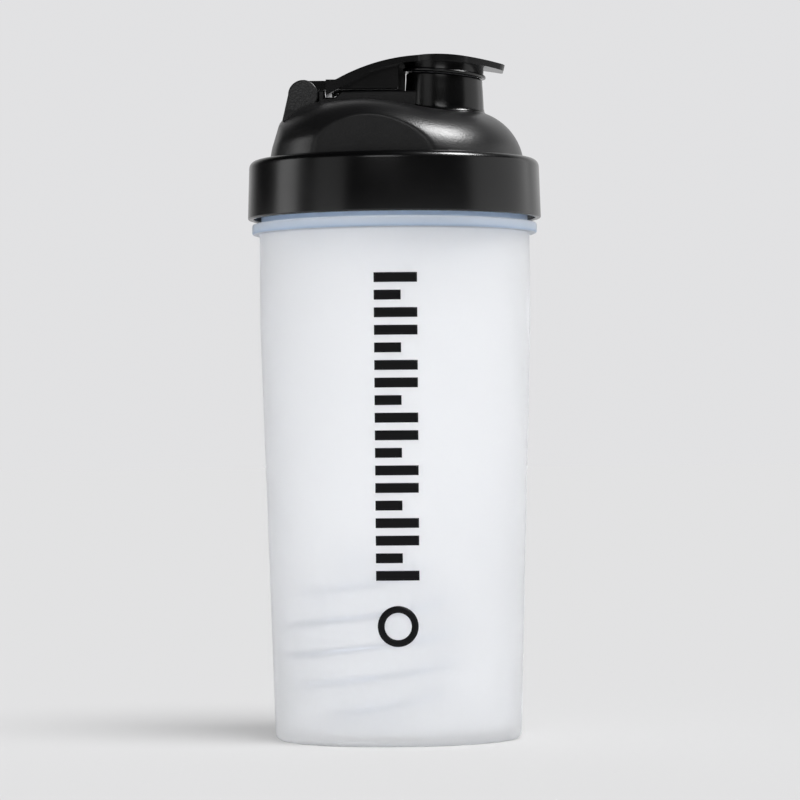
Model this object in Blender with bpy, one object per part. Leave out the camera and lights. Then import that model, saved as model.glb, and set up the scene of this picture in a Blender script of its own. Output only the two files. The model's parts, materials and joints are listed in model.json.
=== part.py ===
"""A protein shaker bottle: a translucent cup with a screw lid, a flip cap over the pouring spout and a wire whisk ball inside. Metres, +Z up. The origin is on the cup's axis, on the surface it stands on, and the spout is towards +X."""

import math

import bmesh
import bpy
from mathutils import Matrix, Vector

MM = 0.001
GAP = 0.3 * MM
FAR = 100 * MM  # how far a cutter reaches past what it cuts
ROUND_SIDES = 64
SMALL_SIDES = 24

# Cup
FOOT_R = 38.6 * MM
FOOT_INNER_R = 34.0 * MM
FOOT_RECESS = 0.9 * MM
CORNER = 1.8 * MM
BASE_R = 40.1 * MM
DRAFT = 0.0303  # growth of the radius per unit of height
SHOULDER_Z = 135.0 * MM
WALL = 1.6 * MM
FLOOR_Z = 3.0 * MM
MOUTH_INNER_R = 42.2 * MM
COLLAR_R = 46.6 * MM
COLLAR_LOW_Z = 165.0 * MM
COLLAR_HIGH_Z = 168.4 * MM
NECK_R = 43.6 * MM
RIM_Z = 184.5 * MM

# Screw thread between the cup's neck and the lid's skirt
PITCH = 5.0 * MM
THREAD_TURNS = 1.1
THREAD_SIDES = 48  # steps per turn
THREAD_ROOT_HALF = 0.9 * MM
THREAD_CREST_HALF = 0.45 * MM
THREAD_BITE = 0.5 * MM
CUP_THREAD_R = 45.2 * MM
CUP_THREAD_Z = 174.0 * MM
LID_THREAD_R = 44.4 * MM
LID_THREAD_Z = CUP_THREAD_Z - PITCH / 2

# Lid
SKIRT_LOW_Z = 169.9 * MM
SKIRT_LOW_R = 48.0 * MM
SKIRT_R = 47.4 * MM
SKIRT_INNER_R = 45.9 * MM
SHOULDER_ROUND = 4.0 * MM
LEDGE_Z = 189.2 * MM
CEILING_Z = 186.5 * MM
DOME_R = 42.6 * MM
DOME_ROUND = 19.0 * MM
DOME_FOOT_Z = 186.4 * MM
DOME_WALL = 2.0 * MM
CROWN_LIFT = 3.6 * MM  # the top is highest behind the middle
CROWN_X = -13.0 * MM
CROWN_FRONT = 33.0 * MM
CROWN_BACK = 55.0 * MM
CROWN_FULL = 0.3  # share of the dome's height above which all of it is lifted
SIDE_FALL = 1.4 * MM  # the top falls away to both sides
SIDE_FALL_Y = 20.0 * MM
GRIP_FROM_AXIS = 37.6 * MM
GRIP_TURN = math.radians(10)
BACK_FROM_AXIS = 40.7 * MM
BACK_CURVE_R = 72.0 * MM
BACK_LEAN = math.radians(17.7)

# Spout
SPOUT_X = 16.7 * MM
SPOUT_R = 12.5 * MM
SPOUT_LOW_R = 13.0 * MM
SPOUT_BORE_R = 10.8 * MM
SPOUT_LOW_Z = 198.0 * MM
SPOUT_RIM_Z = 216.6 * MM
RIM_TILT = math.radians(5.5)

# Hinge
PIVOT_X = -29.4 * MM
PIVOT_Z = 210.2 * MM
EAR_R = 4.9 * MM
EAR_START = -35.0  # degrees round the ear where its front edge drops to the dome
EAR_INNER_Y = 7.6 * MM
EAR_OUTER_Y = 10.6 * MM
EAR_FOOT_X = -36.3 * MM
EAR_FOOT_Z = 201.5 * MM
BARREL_R = 4.8 * MM
TRUNNION_R = 2.05 * MM
TRUNNION_END_Y = 9.4 * MM
PIVOT_HOLE_R = 2.35 * MM
PIVOT_HOLE_END_Y = 9.8 * MM
BRIDGE_HALF_Y = 8.7 * MM
BRIDGE_Z = 211.4 * MM
BRIDGE_STEP_X = -17.0 * MM
BRIDGE_STEP = 2.0 * MM
DAM_X = -22.4 * MM
DAM_Z = 211.7 * MM
BOSS_WALL = 2.8 * MM  # left below the hinge's pocket

# Flip cap
CAP_CREST_X = 11.5 * MM
CAP_CREST_Z = 222.9 * MM
CAP_BACK_R = 62.0 * MM
CAP_FRONT_R = 105.0 * MM
CAP_PLATE = 2.0 * MM
ARM_BACK_X = -22.0 * MM
ARM_RISE_X = -19.7 * MM  # where the arm leaves its flat back end
ARM_HALF_Y = 11.0 * MM
ARM_WALL = 1.8 * MM
ARM_LOW_Z = 209.8 * MM
ARM_STEP_X = -7.0 * MM
ARM_STEP_Z = 218.0 * MM
ARM_END_X = -1.5 * MM
CAP_DISC_R = 14.0 * MM
TAB_START = 57.0  # degrees round the disc from +X
TAB_THICK_X = 28.0 * MM
TAB_THICK = 1.6 * MM
TAB_END_X = 36.5 * MM
TAB_HALF_Y = 6.5 * MM
TAB_ROUND = 2.5 * MM
RIB_INNER_Y = 6.4 * MM
RIB_OUTER_Y = 8.0 * MM
RIB_BACK_X = -21.5 * MM
RIB_FRONT_X = 1.8 * MM
RIB_LOW_Z = 212.0 * MM
SPINE_HALF_Y = 0.8 * MM
SPINE_BACK_X = -17.0 * MM
CAP_BITE = 1.0 * MM  # how far ribs and skirt reach into the plate
CAP_SKIRT_R = 12.9 * MM
CAP_SKIRT_WALL = 1.3 * MM
CAP_LIP_R = 13.6 * MM
CAP_LIP = 1.0 * MM

# Seal and plug
SEAL_INNER_R = 41.2 * MM
SEAL_OUTER_R = 45.2 * MM
PLUG_TOP_R = 10.45 * MM
PLUG_LOW_R = 9.4 * MM
PLUG_DEPTH = 5.0 * MM
PLUG_FLANGE_R = 11.1 * MM
PLUG_TOP_Z = 219.3 * MM

# Whisk ball
BALL_R = 28.0 * MM  # to the middle of the wire
BALL_WIRE_R = 1.0 * MM
BALL_TURNS = 5.6
BALL_X = -7.4 * MM
BALL_Y = -6.0 * MM
BALL_LEAN = math.radians(8)
BALL_CUT = 0.93  # how much of the ball's height the winding spans
BALL_STEPS = 30  # per turn


def clear_scene():
    for obj in list(bpy.data.objects):
        bpy.data.objects.remove(obj, do_unlink=True)


def plastic(name, colour, roughness, metallic=0.0, transmission=0.0):
    made = bpy.data.materials.new(name)
    made.use_nodes = True
    shader = made.node_tree.nodes["Principled BSDF"]
    shader.inputs["Base Color"].default_value = (*colour, 1)
    shader.inputs["Roughness"].default_value = roughness
    shader.inputs["Metallic"].default_value = metallic
    shader.inputs["Transmission Weight"].default_value = transmission
    return made


def object_of(name, mesh, smooth=True):
    """Puts a bmesh into the scene as an object, its faces pointing out."""
    bmesh.ops.remove_doubles(mesh, verts=mesh.verts, dist=1e-7)
    bmesh.ops.recalc_face_normals(mesh, faces=mesh.faces)
    data = bpy.data.meshes.new(name)
    mesh.to_mesh(data)
    mesh.free()
    if smooth:
        data.shade_smooth()
        data.set_sharp_from_angle(angle=math.radians(35))
    made = bpy.data.objects.new(name, data)
    bpy.context.scene.collection.objects.link(made)
    return made


def arc(centre, radius, start, end, steps):
    """Points of a round stretch as (across, up), from one angle in degrees to another."""
    angles = [math.radians(start + (end - start) * i / steps) for i in range(steps + 1)]
    return [(centre[0] + radius * math.cos(a), centre[1] + radius * math.sin(a)) for a in angles]


def turned(name, outline, sides=ROUND_SIDES):
    """A solid turned about Z from (radius, height) points. An outline that starts off the axis is closed."""
    mesh = bmesh.new()
    verts = [mesh.verts.new((r, 0, z)) for r, z in outline]
    ends = list(zip(verts, verts[1:]))
    if outline[0][0] > 0:
        ends.append((verts[-1], verts[0]))
    edges = [mesh.edges.new(pair) for pair in ends]
    bmesh.ops.spin(mesh, geom=verts + edges, axis=(0, 0, 1), angle=math.tau, steps=sides)
    return object_of(name, mesh)


def prism(name, outline, low_y, high_y):
    """A solid with an outline of (x, z) points, between two values of y."""
    mesh = bmesh.new()
    face = mesh.faces.new([mesh.verts.new((x, low_y, z)) for x, z in outline])
    swept = bmesh.ops.extrude_face_region(mesh, geom=[face])["geom"]
    moved = [item for item in swept if isinstance(item, bmesh.types.BMVert)]
    bmesh.ops.translate(mesh, verts=moved, vec=(0, high_y - low_y, 0))
    return object_of(name, mesh)


def plan_prism(name, outline, low_z, high_z):
    """A solid with an outline of (x, y) points, between two heights."""
    mesh = bmesh.new()
    face = mesh.faces.new([mesh.verts.new((x, y, low_z)) for x, y in outline])
    swept = bmesh.ops.extrude_face_region(mesh, geom=[face])["geom"]
    moved = [item for item in swept if isinstance(item, bmesh.types.BMVert)]
    bmesh.ops.translate(mesh, verts=moved, vec=(0, 0, high_z - low_z))
    return object_of(name, mesh)


def block(name, low, high):
    mesh = bmesh.new()
    size = Vector(high) - Vector(low)
    place = Matrix.Translation((Vector(low) + Vector(high)) / 2) @ Matrix.Diagonal((*size, 1))
    bmesh.ops.create_cube(mesh, size=1, matrix=place)
    return object_of(name, mesh)


def rod(name, radius, half_length, sides=SMALL_SIDES):
    """A round rod along the hinge's axis, centred on y = 0."""
    mesh = bmesh.new()
    place = Matrix.Translation((PIVOT_X, 0, PIVOT_Z)) @ Matrix.Rotation(math.pi / 2, 4, "X")
    bmesh.ops.create_cone(
        mesh,
        cap_ends=True,
        segments=sides,
        radius1=radius,
        radius2=radius,
        depth=2 * half_length,
        matrix=place,
    )
    return object_of(name, mesh)


def helper(obj):
    obj.hide_render = True
    obj.display_type = "WIRE"
    return obj


def combine(target, operation, *others):
    """Adds, cuts or intersects other solids, which then only serve as helpers."""
    for other in others:
        modifier = target.modifiers.new(other.name, "BOOLEAN")
        modifier.operation = operation
        modifier.solver = "EXACT"
        modifier.object = helper(other)
    return target


def shift(obj, move):
    for vertex in obj.data.vertices:
        vertex.co += Vector(move)
    return obj


def tilt_top(obj, above):
    """Tips everything above a height, so that it falls towards +X as the spout's rim does."""
    for vertex in obj.data.vertices:
        if vertex.co.z > above:
            vertex.co.z -= math.tan(RIM_TILT) * (vertex.co.x - SPOUT_X)
    return obj


def thread(name, root_r, crest_r, start_z):
    """One helical ridge with a tapered section, sunk into the wall it grows from and fading out at both ends."""
    inward = math.copysign(1, crest_r - root_r)
    steps = round(THREAD_TURNS * THREAD_SIDES)
    mesh = bmesh.new()
    rings = []
    for i in range(steps + 1):
        angle = math.tau * i / THREAD_SIDES
        height = min(1, 0.15 + min(i, steps - i) / 5)
        crest = root_r + (crest_r - root_r) * height
        foot = root_r - inward * THREAD_BITE
        middle = start_z + PITCH * i / THREAD_SIDES
        section = (
            (foot, -THREAD_ROOT_HALF),
            (crest, -THREAD_CREST_HALF),
            (crest, THREAD_CREST_HALF),
            (foot, THREAD_ROOT_HALF),
        )
        rings.append(
            [
                mesh.verts.new((r * math.cos(angle), r * math.sin(angle), middle + dz))
                for r, dz in section
            ]
        )
    for near, far in zip(rings, rings[1:]):
        for k in range(4):
            mesh.faces.new((near[k], near[k - 1], far[k - 1], far[k]))
    mesh.faces.new(rings[0])
    mesh.faces.new(rings[-1])
    return object_of(name, mesh)


def cup():
    """Tumbler with a foot ring, a drafted wall, a stop collar and a threaded neck."""
    shoulder_r = BASE_R + DRAFT * SHOULDER_Z
    mouth_z = (MOUTH_INNER_R + WALL - BASE_R) / DRAFT
    edge = 0.7 * MM
    lip = (MOUTH_INNER_R + NECK_R) / 2
    outside = [
        (FOOT_INNER_R, FOOT_RECESS),
        (FOOT_INNER_R + 0.6 * MM, 0),
        *arc((FOOT_R, CORNER), CORNER, -90, 0, 3),
        (shoulder_r, SHOULDER_Z),
        (shoulder_r, COLLAR_LOW_Z - edge),
        *arc((COLLAR_R - edge, COLLAR_LOW_Z + edge), edge, -90, 0, 2),
        *arc((COLLAR_R - edge, COLLAR_HIGH_Z - edge), edge, 0, 90, 2),
        (NECK_R, COLLAR_HIGH_Z),
        *arc((lip, RIM_Z - (NECK_R - lip)), NECK_R - lip, 0, 180, 4),
    ]
    inner_corner = 3.0 * MM
    floor_r = BASE_R + DRAFT * FLOOR_Z - WALL - inner_corner
    inside = [
        (MOUTH_INNER_R, mouth_z),
        *arc((floor_r, FLOOR_Z + inner_corner), inner_corner, 0, -90, 3),
        (0, FLOOR_Z),
    ]
    made = turned("cup", [(0, FOOT_RECESS), *outside, *inside])
    return combine(made, "UNION", thread("cup_thread", NECK_R, CUP_THREAD_R, CUP_THREAD_Z))


def crown(x, y, share):
    """How much higher the dome is than its plain turned shape, at a share of its height."""
    reach = CROWN_FRONT if x > CROWN_X else CROWN_BACK
    along = min(1, abs(x - CROWN_X) / reach)
    aside = min(1, abs(y) / SIDE_FALL_Y)
    lift = CROWN_LIFT * min(1, share / CROWN_FULL) * math.cos(math.pi / 2 * along) ** 2
    return lift - SIDE_FALL * share * math.sin(math.pi / 2 * aside) ** 2


def dome(name, inset):
    """The lid's domed top as a solid, or the space inside it when it is inset, with its two grip flats and its back panel."""
    radius, rounding = DOME_R - inset, DOME_ROUND - inset
    middle = radius - rounding
    foot = DOME_FOOT_Z - 1 * MM
    top = DOME_FOOT_Z + rounding
    outline = [(0, foot), (radius, foot), *arc((middle, DOME_FOOT_Z), rounding, 0, 90, 10)]
    outline += [(middle * 2 / 3, top), (middle / 3, top), (0, top)]
    made = turned(name, outline)
    for vertex in made.data.vertices:
        share = max(0, vertex.co.z - DOME_FOOT_Z) / rounding
        vertex.co.z += crown(vertex.co.x, vertex.co.y, share)
    for side in (-1, 1):
        near, far = sorted((side * (GRIP_FROM_AXIS - inset), side * FAR))
        flat = block(f"{name}_grip_{side}", (-FAR, near, foot - FAR), (FAR, far, top + FAR))
        flat.data.transform(Matrix.Rotation(side * GRIP_TURN, 4, "Z"))
        combine(made, "DIFFERENCE", flat)
    height = 60 * MM
    shrink = height * math.tan(BACK_LEAN)
    curve = BACK_CURVE_R
    outline = [(0, -height), (curve + shrink, -height), (curve - shrink, height), (0, height)]
    back = turned(f"{name}_back", outline)
    shift(back, (BACK_CURVE_R - BACK_FROM_AXIS + inset, 0, LEDGE_Z))
    return combine(made, "INTERSECT", back)


def ear(name, side):
    """A hinge ear: a round plate whose back edge slopes out to meet the dome."""
    around = arc((PIVOT_X, PIVOT_Z), EAR_R, EAR_START, 180, 20)
    outline = [(EAR_FOOT_X, EAR_FOOT_Z), (around[0][0], EAR_FOOT_Z), *around]
    low, high = sorted((side * EAR_INNER_Y, side * EAR_OUTER_Y))
    return prism(name, outline, low, high)


def lid():
    """Screw lid: skirt, ledge, dome, spout, bridge and hinge ears, hollow below and threaded inside the skirt."""
    edge = 0.6 * MM
    round_z = LEDGE_Z - SHOULDER_ROUND
    outline = [
        (0, SKIRT_LOW_Z),
        (SKIRT_LOW_R - edge, SKIRT_LOW_Z),
        (SKIRT_LOW_R, SKIRT_LOW_Z + edge),
        *arc((SKIRT_R - SHOULDER_ROUND, round_z), SHOULDER_ROUND, 0, 90, 6),
        (0, LEDGE_Z),
    ]
    made = turned("lid", outline)

    spout = turned(
        "spout",
        [(0, SPOUT_LOW_Z), (SPOUT_LOW_R, SPOUT_LOW_Z), (SPOUT_R, SPOUT_RIM_Z), (0, SPOUT_RIM_Z)],
    )
    tilt_top(shift(spout, (SPOUT_X, 0, 0)), SPOUT_LOW_Z + 1 * MM)
    bridge_back = PIVOT_X + BARREL_R
    outline = [
        (bridge_back, EAR_FOOT_Z),
        (SPOUT_X, EAR_FOOT_Z),
        (SPOUT_X, BRIDGE_Z),
        (BRIDGE_STEP_X, BRIDGE_Z),
        (BRIDGE_STEP_X - BRIDGE_STEP, BRIDGE_Z - BRIDGE_STEP),
        (DAM_X, BRIDGE_Z - BRIDGE_STEP),
        (DAM_X, DAM_Z),
        (bridge_back, DAM_Z),
    ]
    bridge = prism("bridge", outline, -BRIDGE_HALF_Y, BRIDGE_HALF_Y)
    combine(made, "UNION", dome("dome", 0), bridge, spout, ear("ear_near", -1), ear("ear_far", 1))

    below = SKIRT_LOW_Z - FAR
    outline = [(0, below), (SKIRT_INNER_R, below), (SKIRT_INNER_R, CEILING_Z), (0, CEILING_Z)]
    hollow = turned("hollow", outline)
    inner_dome = dome("inner_dome", DOME_WALL)
    pocket_r = BARREL_R + 2 * GAP
    boss_low = (-FAR, -EAR_OUTER_Y, PIVOT_Z - pocket_r - BOSS_WALL)
    boss = block("boss", boss_low, (PIVOT_X + pocket_r + BOSS_WALL, EAR_OUTER_Y, PIVOT_Z + FAR))
    combine(inner_dome, "DIFFERENCE", boss)
    combine(hollow, "UNION", inner_dome)
    above = SPOUT_RIM_Z + FAR
    outline = [(0, SPOUT_LOW_Z), (SPOUT_BORE_R, SPOUT_LOW_Z), (SPOUT_BORE_R, above), (0, above)]
    bore = turned("bore", outline, ROUND_SIDES // 2)
    shift(bore, (SPOUT_X, 0, 0))
    pocket = rod("pocket", pocket_r, EAR_INNER_Y + GAP / 2, ROUND_SIDES // 2)
    hole = rod("pivot_hole", PIVOT_HOLE_R, PIVOT_HOLE_END_Y)
    combine(made, "DIFFERENCE", hollow, bore, pocket, hole)
    return combine(
        made, "UNION", thread("lid_thread", SKIRT_INNER_R, LID_THREAD_R, LID_THREAD_Z)
    )


def cap_top(x, depth=0.0):
    """Height of the flip cap's arched top at a place along X, or of a surface that far below it."""
    radius = CAP_BACK_R if x < CAP_CREST_X else CAP_FRONT_R
    along = x - CAP_CREST_X
    return CAP_CREST_Z - radius + math.sqrt((radius - depth) ** 2 - along**2)


def arched(back_x, front_x, depth, steps=14):
    """Points along the arch, from back to front."""
    places = [back_x + (front_x - back_x) * i / steps for i in range(steps + 1)]
    return [(x, cap_top(x, depth)) for x in places]


def cap_plan():
    """The flip cap seen from above: a straight arm, a disc over the spout and a tab that narrows to a round end."""
    join = 180 - math.degrees(math.asin(ARM_HALF_Y / CAP_DISC_R))
    half = [(ARM_BACK_X, ARM_HALF_Y)]
    half += arc((SPOUT_X, 0), CAP_DISC_R, join, TAB_START, 8)
    half += arc((TAB_END_X - TAB_ROUND, TAB_HALF_Y - TAB_ROUND), TAB_ROUND, 70, 0, 3)
    return half + [(x, -y) for x, y in reversed(half)]


def cap_ring():
    """The skirt over the spout's rim with its small outer lip. It follows the rim's tilt below and the arch above."""
    low = SPOUT_RIM_Z + GAP
    high = CAP_CREST_Z - CAP_BITE
    inner_r = CAP_SKIRT_R - CAP_SKIRT_WALL
    outline = [
        (inner_r, low),
        (CAP_LIP_R, low),
        (CAP_LIP_R, low + CAP_LIP),
        (CAP_SKIRT_R, low + CAP_LIP),
        (CAP_SKIRT_R, high),
        (inner_r, high),
    ]
    ring = shift(turned("cap_ring", outline, ROUND_SIDES // 2), (SPOUT_X, 0, 0))
    for vertex in ring.data.vertices:
        if vertex.co.z > high - CAP_LIP:
            vertex.co.z = cap_top(vertex.co.x, CAP_BITE)
        else:
            vertex.co.z -= math.tan(RIM_TILT) * (vertex.co.x - SPOUT_X)
    return ring


def rib(side):
    """One of the two outer ribs under the arm."""
    foot_round = 1 * MM
    outline = [
        (RIB_BACK_X, PIVOT_Z + BARREL_R - CAP_BITE),
        (RIB_BACK_X, RIB_LOW_Z),
        *arc((RIB_FRONT_X - foot_round, RIB_LOW_Z + foot_round), foot_round, -90, 0, 3),
        *reversed(arched(ARM_RISE_X + 2 * MM, RIB_FRONT_X, CAP_BITE, 8)),
    ]
    low, high = sorted((side * RIB_INNER_Y, side * RIB_OUTER_Y))
    return prism(f"rib_{side}", outline, low, high)


def spine():
    """The middle rib. It passes behind the spout's back edge and joins the skirt above it."""
    front_x = SPOUT_X - CAP_SKIRT_R + CAP_SKIRT_WALL / 2
    low_front_x = SPOUT_X - SPOUT_LOW_R
    step_z = SPOUT_RIM_Z + math.tan(RIM_TILT) * CAP_SKIRT_R + 2 * GAP
    outline = [
        (SPINE_BACK_X, RIB_LOW_Z),
        (low_front_x, RIB_LOW_Z),
        (low_front_x, step_z),
        (front_x, step_z),
        *reversed(arched(SPINE_BACK_X, front_x, CAP_BITE, 8)),
    ]
    return prism("spine", outline, -SPINE_HALF_Y, SPINE_HALF_Y)


def flip_cap():
    """Arched cap: a plate with side walls along the arm, three ribs, a skirt over the spout's rim and a hinge barrel with its trunnions."""
    flat_z = PIVOT_Z + BARREL_R
    past_end = TAB_END_X + 1 * MM
    outline = [
        (ARM_BACK_X, ARM_LOW_Z),
        (ARM_BACK_X, flat_z),
        (ARM_RISE_X, flat_z),
        *arched(ARM_RISE_X + 1.2 * MM, past_end, 0),
        (past_end, cap_top(past_end, TAB_THICK)),
        *reversed(arched(ARM_END_X, TAB_THICK_X, CAP_PLATE)),
        (ARM_STEP_X, ARM_STEP_Z),
    ]
    made = prism("flip_cap", outline, -CAP_DISC_R - 1 * MM, CAP_DISC_R + 1 * MM)
    combine(made, "INTERSECT", plan_prism("cap_plan", cap_plan(), PIVOT_Z - FAR, PIVOT_Z + FAR))
    channel_back = ARM_BACK_X + 2 * MM
    channel_front = SPOUT_X
    outline = [
        (channel_back, PIVOT_Z - FAR),
        (channel_back, flat_z - CAP_PLATE),
        *arched(ARM_RISE_X + 2 * MM, channel_front, CAP_PLATE),
        (channel_front, PIVOT_Z - FAR),
    ]
    channel_y = ARM_HALF_Y - ARM_WALL
    combine(made, "DIFFERENCE", prism("channel", outline, -channel_y, channel_y))

    web_low = flat_z - CAP_PLATE - 1 * MM
    outline = [(PIVOT_X, web_low), (PIVOT_X, flat_z), (ARM_RISE_X, flat_z), (ARM_RISE_X, web_low)]
    barrel_y = EAR_INNER_Y - GAP
    web = prism("web", outline, -barrel_y, barrel_y)
    barrel = rod("barrel", BARREL_R, barrel_y, ROUND_SIDES // 2)
    trunnions = rod("trunnions", TRUNNION_R, TRUNNION_END_Y)
    combine(made, "UNION", rib(-1), rib(1), spine(), web, barrel, trunnions, cap_ring())
    return place_on_pivot(made)


def place_on_pivot(obj):
    """Moves a piece's origin onto the hinge's axis and leaves its shape where it is."""
    shift(obj, (-PIVOT_X, 0, -PIVOT_Z))
    obj.location = (PIVOT_X, 0, PIVOT_Z)
    return obj


def spout_plug():
    """Soft tapered stopper under the cap's plate. Its taper lets it swing out of the bore."""
    rim = SPOUT_RIM_Z + GAP
    outline = [
        (0, rim - PLUG_DEPTH),
        (PLUG_LOW_R - 1 * MM, rim - PLUG_DEPTH),
        (PLUG_LOW_R, rim - PLUG_DEPTH + 1 * MM),
        (PLUG_TOP_R, rim),
        (PLUG_FLANGE_R, rim + 0.5 * MM),
        (PLUG_FLANGE_R, PLUG_TOP_Z),
        (0, PLUG_TOP_Z),
    ]
    made = turned("spout_plug", outline, ROUND_SIDES // 2)
    tilt_top(shift(made, (SPOUT_X, 0, 0)), 0)
    return place_on_pivot(made)


def lid_seal():
    low, high = RIM_Z + GAP, CEILING_Z - GAP
    round_r = (high - low) / 2
    middle = low + round_r
    outline = arc((SEAL_OUTER_R - round_r, middle), round_r, -90, 90, 2)
    outline += arc((SEAL_INNER_R + round_r, middle), round_r, 90, 270, 2)
    return turned("lid_seal", outline)


def whisk_ball():
    """Spring-steel wire wound over a sphere, open between its turns, with both ends turned in."""
    top = math.sin(math.pi / 2 * BALL_CUT)
    steps = round(BALL_TURNS * BALL_STEPS)
    winding = []
    for i in range(steps + 1):
        along = 2 * i / steps - 1
        height = BALL_R * top * along
        across = math.sqrt(BALL_R**2 - height**2)
        angle = math.tau * BALL_TURNS * i / steps
        winding.append(Vector((across * math.cos(angle), across * math.sin(angle), height)))
    lean = Matrix.Rotation(-BALL_LEAN, 3, "Y")
    points = [lean @ point for point in winding]
    lowest = min(point.z for point in points) - BALL_WIRE_R
    centre = Vector((BALL_X, BALL_Y, FLOOR_Z + GAP - lowest))

    curve = bpy.data.curves.new("whisk_ball", "CURVE")
    curve.dimensions = "3D"
    curve.bevel_depth = BALL_WIRE_R
    curve.bevel_resolution = 1
    curve.use_fill_caps = True
    spline = curve.splines.new("POLY")
    spline.points.add(len(points) - 1)
    for slot, point in zip(spline.points, points):
        slot.co = (*point, 1)
    made = bpy.data.objects.new("whisk_ball", curve)
    made.location = centre
    bpy.context.scene.collection.objects.link(made)
    return made


def main():
    clear_scene()
    frosted = plastic("frosted_polypropylene", (0.86, 0.89, 0.94), 0.45, transmission=0.6)
    black = plastic("black_polypropylene", (0.012, 0.012, 0.013), 0.32)
    silicone = plastic("grey_silicone", (0.25, 0.25, 0.26), 0.6)
    steel = plastic("stainless_wire", (0.62, 0.63, 0.65), 0.2, metallic=1.0)
    pieces = (
        (cup(), frosted),
        (lid(), black),
        (lid_seal(), silicone),
        (flip_cap(), black),
        (spout_plug(), silicone),
        (whisk_ball(), steel),
    )
    for obj, material in pieces:
        obj.data.materials.append(material)


main()
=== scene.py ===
import json
import math

import bpy
from mathutils import Matrix, Vector


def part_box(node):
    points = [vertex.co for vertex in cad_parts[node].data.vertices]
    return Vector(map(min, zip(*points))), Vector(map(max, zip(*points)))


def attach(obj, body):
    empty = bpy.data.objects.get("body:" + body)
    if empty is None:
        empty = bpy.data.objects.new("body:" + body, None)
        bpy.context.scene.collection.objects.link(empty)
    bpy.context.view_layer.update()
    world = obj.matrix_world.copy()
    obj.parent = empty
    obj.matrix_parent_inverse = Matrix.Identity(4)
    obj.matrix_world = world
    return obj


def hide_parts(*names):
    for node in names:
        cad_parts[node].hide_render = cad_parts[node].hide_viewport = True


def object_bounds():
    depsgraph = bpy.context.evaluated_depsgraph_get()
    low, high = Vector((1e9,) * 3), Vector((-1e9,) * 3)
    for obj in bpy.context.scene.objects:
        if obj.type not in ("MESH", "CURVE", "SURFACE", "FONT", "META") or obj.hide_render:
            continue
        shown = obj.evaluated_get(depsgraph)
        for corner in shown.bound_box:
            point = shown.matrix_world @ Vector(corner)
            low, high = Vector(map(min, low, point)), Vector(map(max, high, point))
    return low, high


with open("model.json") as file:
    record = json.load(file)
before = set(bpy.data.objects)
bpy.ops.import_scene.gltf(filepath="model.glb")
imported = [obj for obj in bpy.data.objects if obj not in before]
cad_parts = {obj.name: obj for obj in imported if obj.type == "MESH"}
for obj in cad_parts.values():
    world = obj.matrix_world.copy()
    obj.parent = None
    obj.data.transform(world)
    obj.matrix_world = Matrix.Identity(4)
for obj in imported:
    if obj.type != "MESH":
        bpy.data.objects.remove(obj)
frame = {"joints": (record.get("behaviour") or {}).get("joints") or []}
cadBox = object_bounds()
mm = 0.001
hinge = Vector(next(j["pos_m"] for j in frame["joints"] if j["name"] == "cap_flip"))
print("frame loaded, hinge at", tuple(round(value, 4) for value in hinge))


# helpers shared by the pieces
def deselectAll():
    if bpy.context.object and bpy.context.object.mode != "OBJECT":
        bpy.ops.object.mode_set(mode="OBJECT")
    bpy.ops.object.select_all(action="DESELECT")


def pick(piece):
    deselectAll()
    piece.select_set(True)
    bpy.context.view_layer.objects.active = piece


def applyModifiers(piece):
    pick(piece)
    for modifier in list(piece.modifiers):
        bpy.ops.object.modifier_apply(modifier=modifier.name)


def roundedOutline(corners, closed=False, perCorner=5):
    # corners are (across, up, radius); each one with a radius becomes a round stretch
    points = []
    count = len(corners)
    for i, (across, up, radius) in enumerate(corners):
        here = Vector((across, up))
        if radius == 0 or (not closed and i in (0, count - 1)):
            points.append(here)
            continue
        back = Vector(corners[i - 1][:2]) - here
        ahead = Vector(corners[(i + 1) % count][:2]) - here
        half = back.angle(ahead) / 2
        reach = min(radius / math.tan(half), 0.49 * back.length, 0.49 * ahead.length)
        middle = (back.normalized() + ahead.normalized()).normalized()
        centre = here + middle * reach / math.cos(half)
        start = here + back.normalized() * reach - centre
        end = here + ahead.normalized() * reach - centre
        turn = start.angle_signed(end)
        for k in range(perCorner + 1):
            points.append(centre + Matrix.Rotation(-turn * k / perCorner, 2) @ start)
    return points + points[:1] if closed else points


def arcPoints(centre, radius, start, end, steps):
    angles = [math.radians(start + (end - start) * i / steps) for i in range(steps + 1)]
    return [
        Vector((centre[0] + radius * math.cos(a), centre[1] + radius * math.sin(a)))
        for a in angles
    ]


def drawOutline(name, outline, place):
    # a small plane is pulled together to one corner, which is then drawn out along the outline
    deselectAll()
    bpy.ops.mesh.primitive_plane_add(size=mm, location=place(outline[0]))
    piece = bpy.context.object
    piece.name = name
    bpy.ops.object.mode_set(mode="EDIT")
    bpy.ops.mesh.merge(type="CENTER")
    for here, there in zip(outline, outline[1:]):
        step = Vector(place(there)) - Vector(place(here))
        bpy.ops.mesh.extrude_vertices_move(TRANSFORM_OT_translate={"value": step})
    bpy.ops.mesh.select_all(action="SELECT")
    return piece


def settle(piece, smoothAngle=35):
    bpy.ops.mesh.select_all(action="SELECT")
    bpy.ops.mesh.remove_doubles(threshold=1e-6)
    bpy.ops.mesh.normals_make_consistent(inside=False)
    bpy.ops.object.mode_set(mode="OBJECT")
    bpy.ops.object.transform_apply(location=True, rotation=True, scale=True)
    bpy.ops.object.shade_smooth_by_angle(angle=math.radians(smoothAngle))
    return piece


def spunPiece(name, outline, steps=192, centreX=0.0):
    drawOutline(name, outline, lambda p: (centreX + p[0], 0, p[1]))
    bpy.ops.mesh.spin(steps=steps, angle=math.tau, center=(centreX, 0, 0), axis=(0, 0, 1))
    return settle(bpy.context.object)


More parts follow.
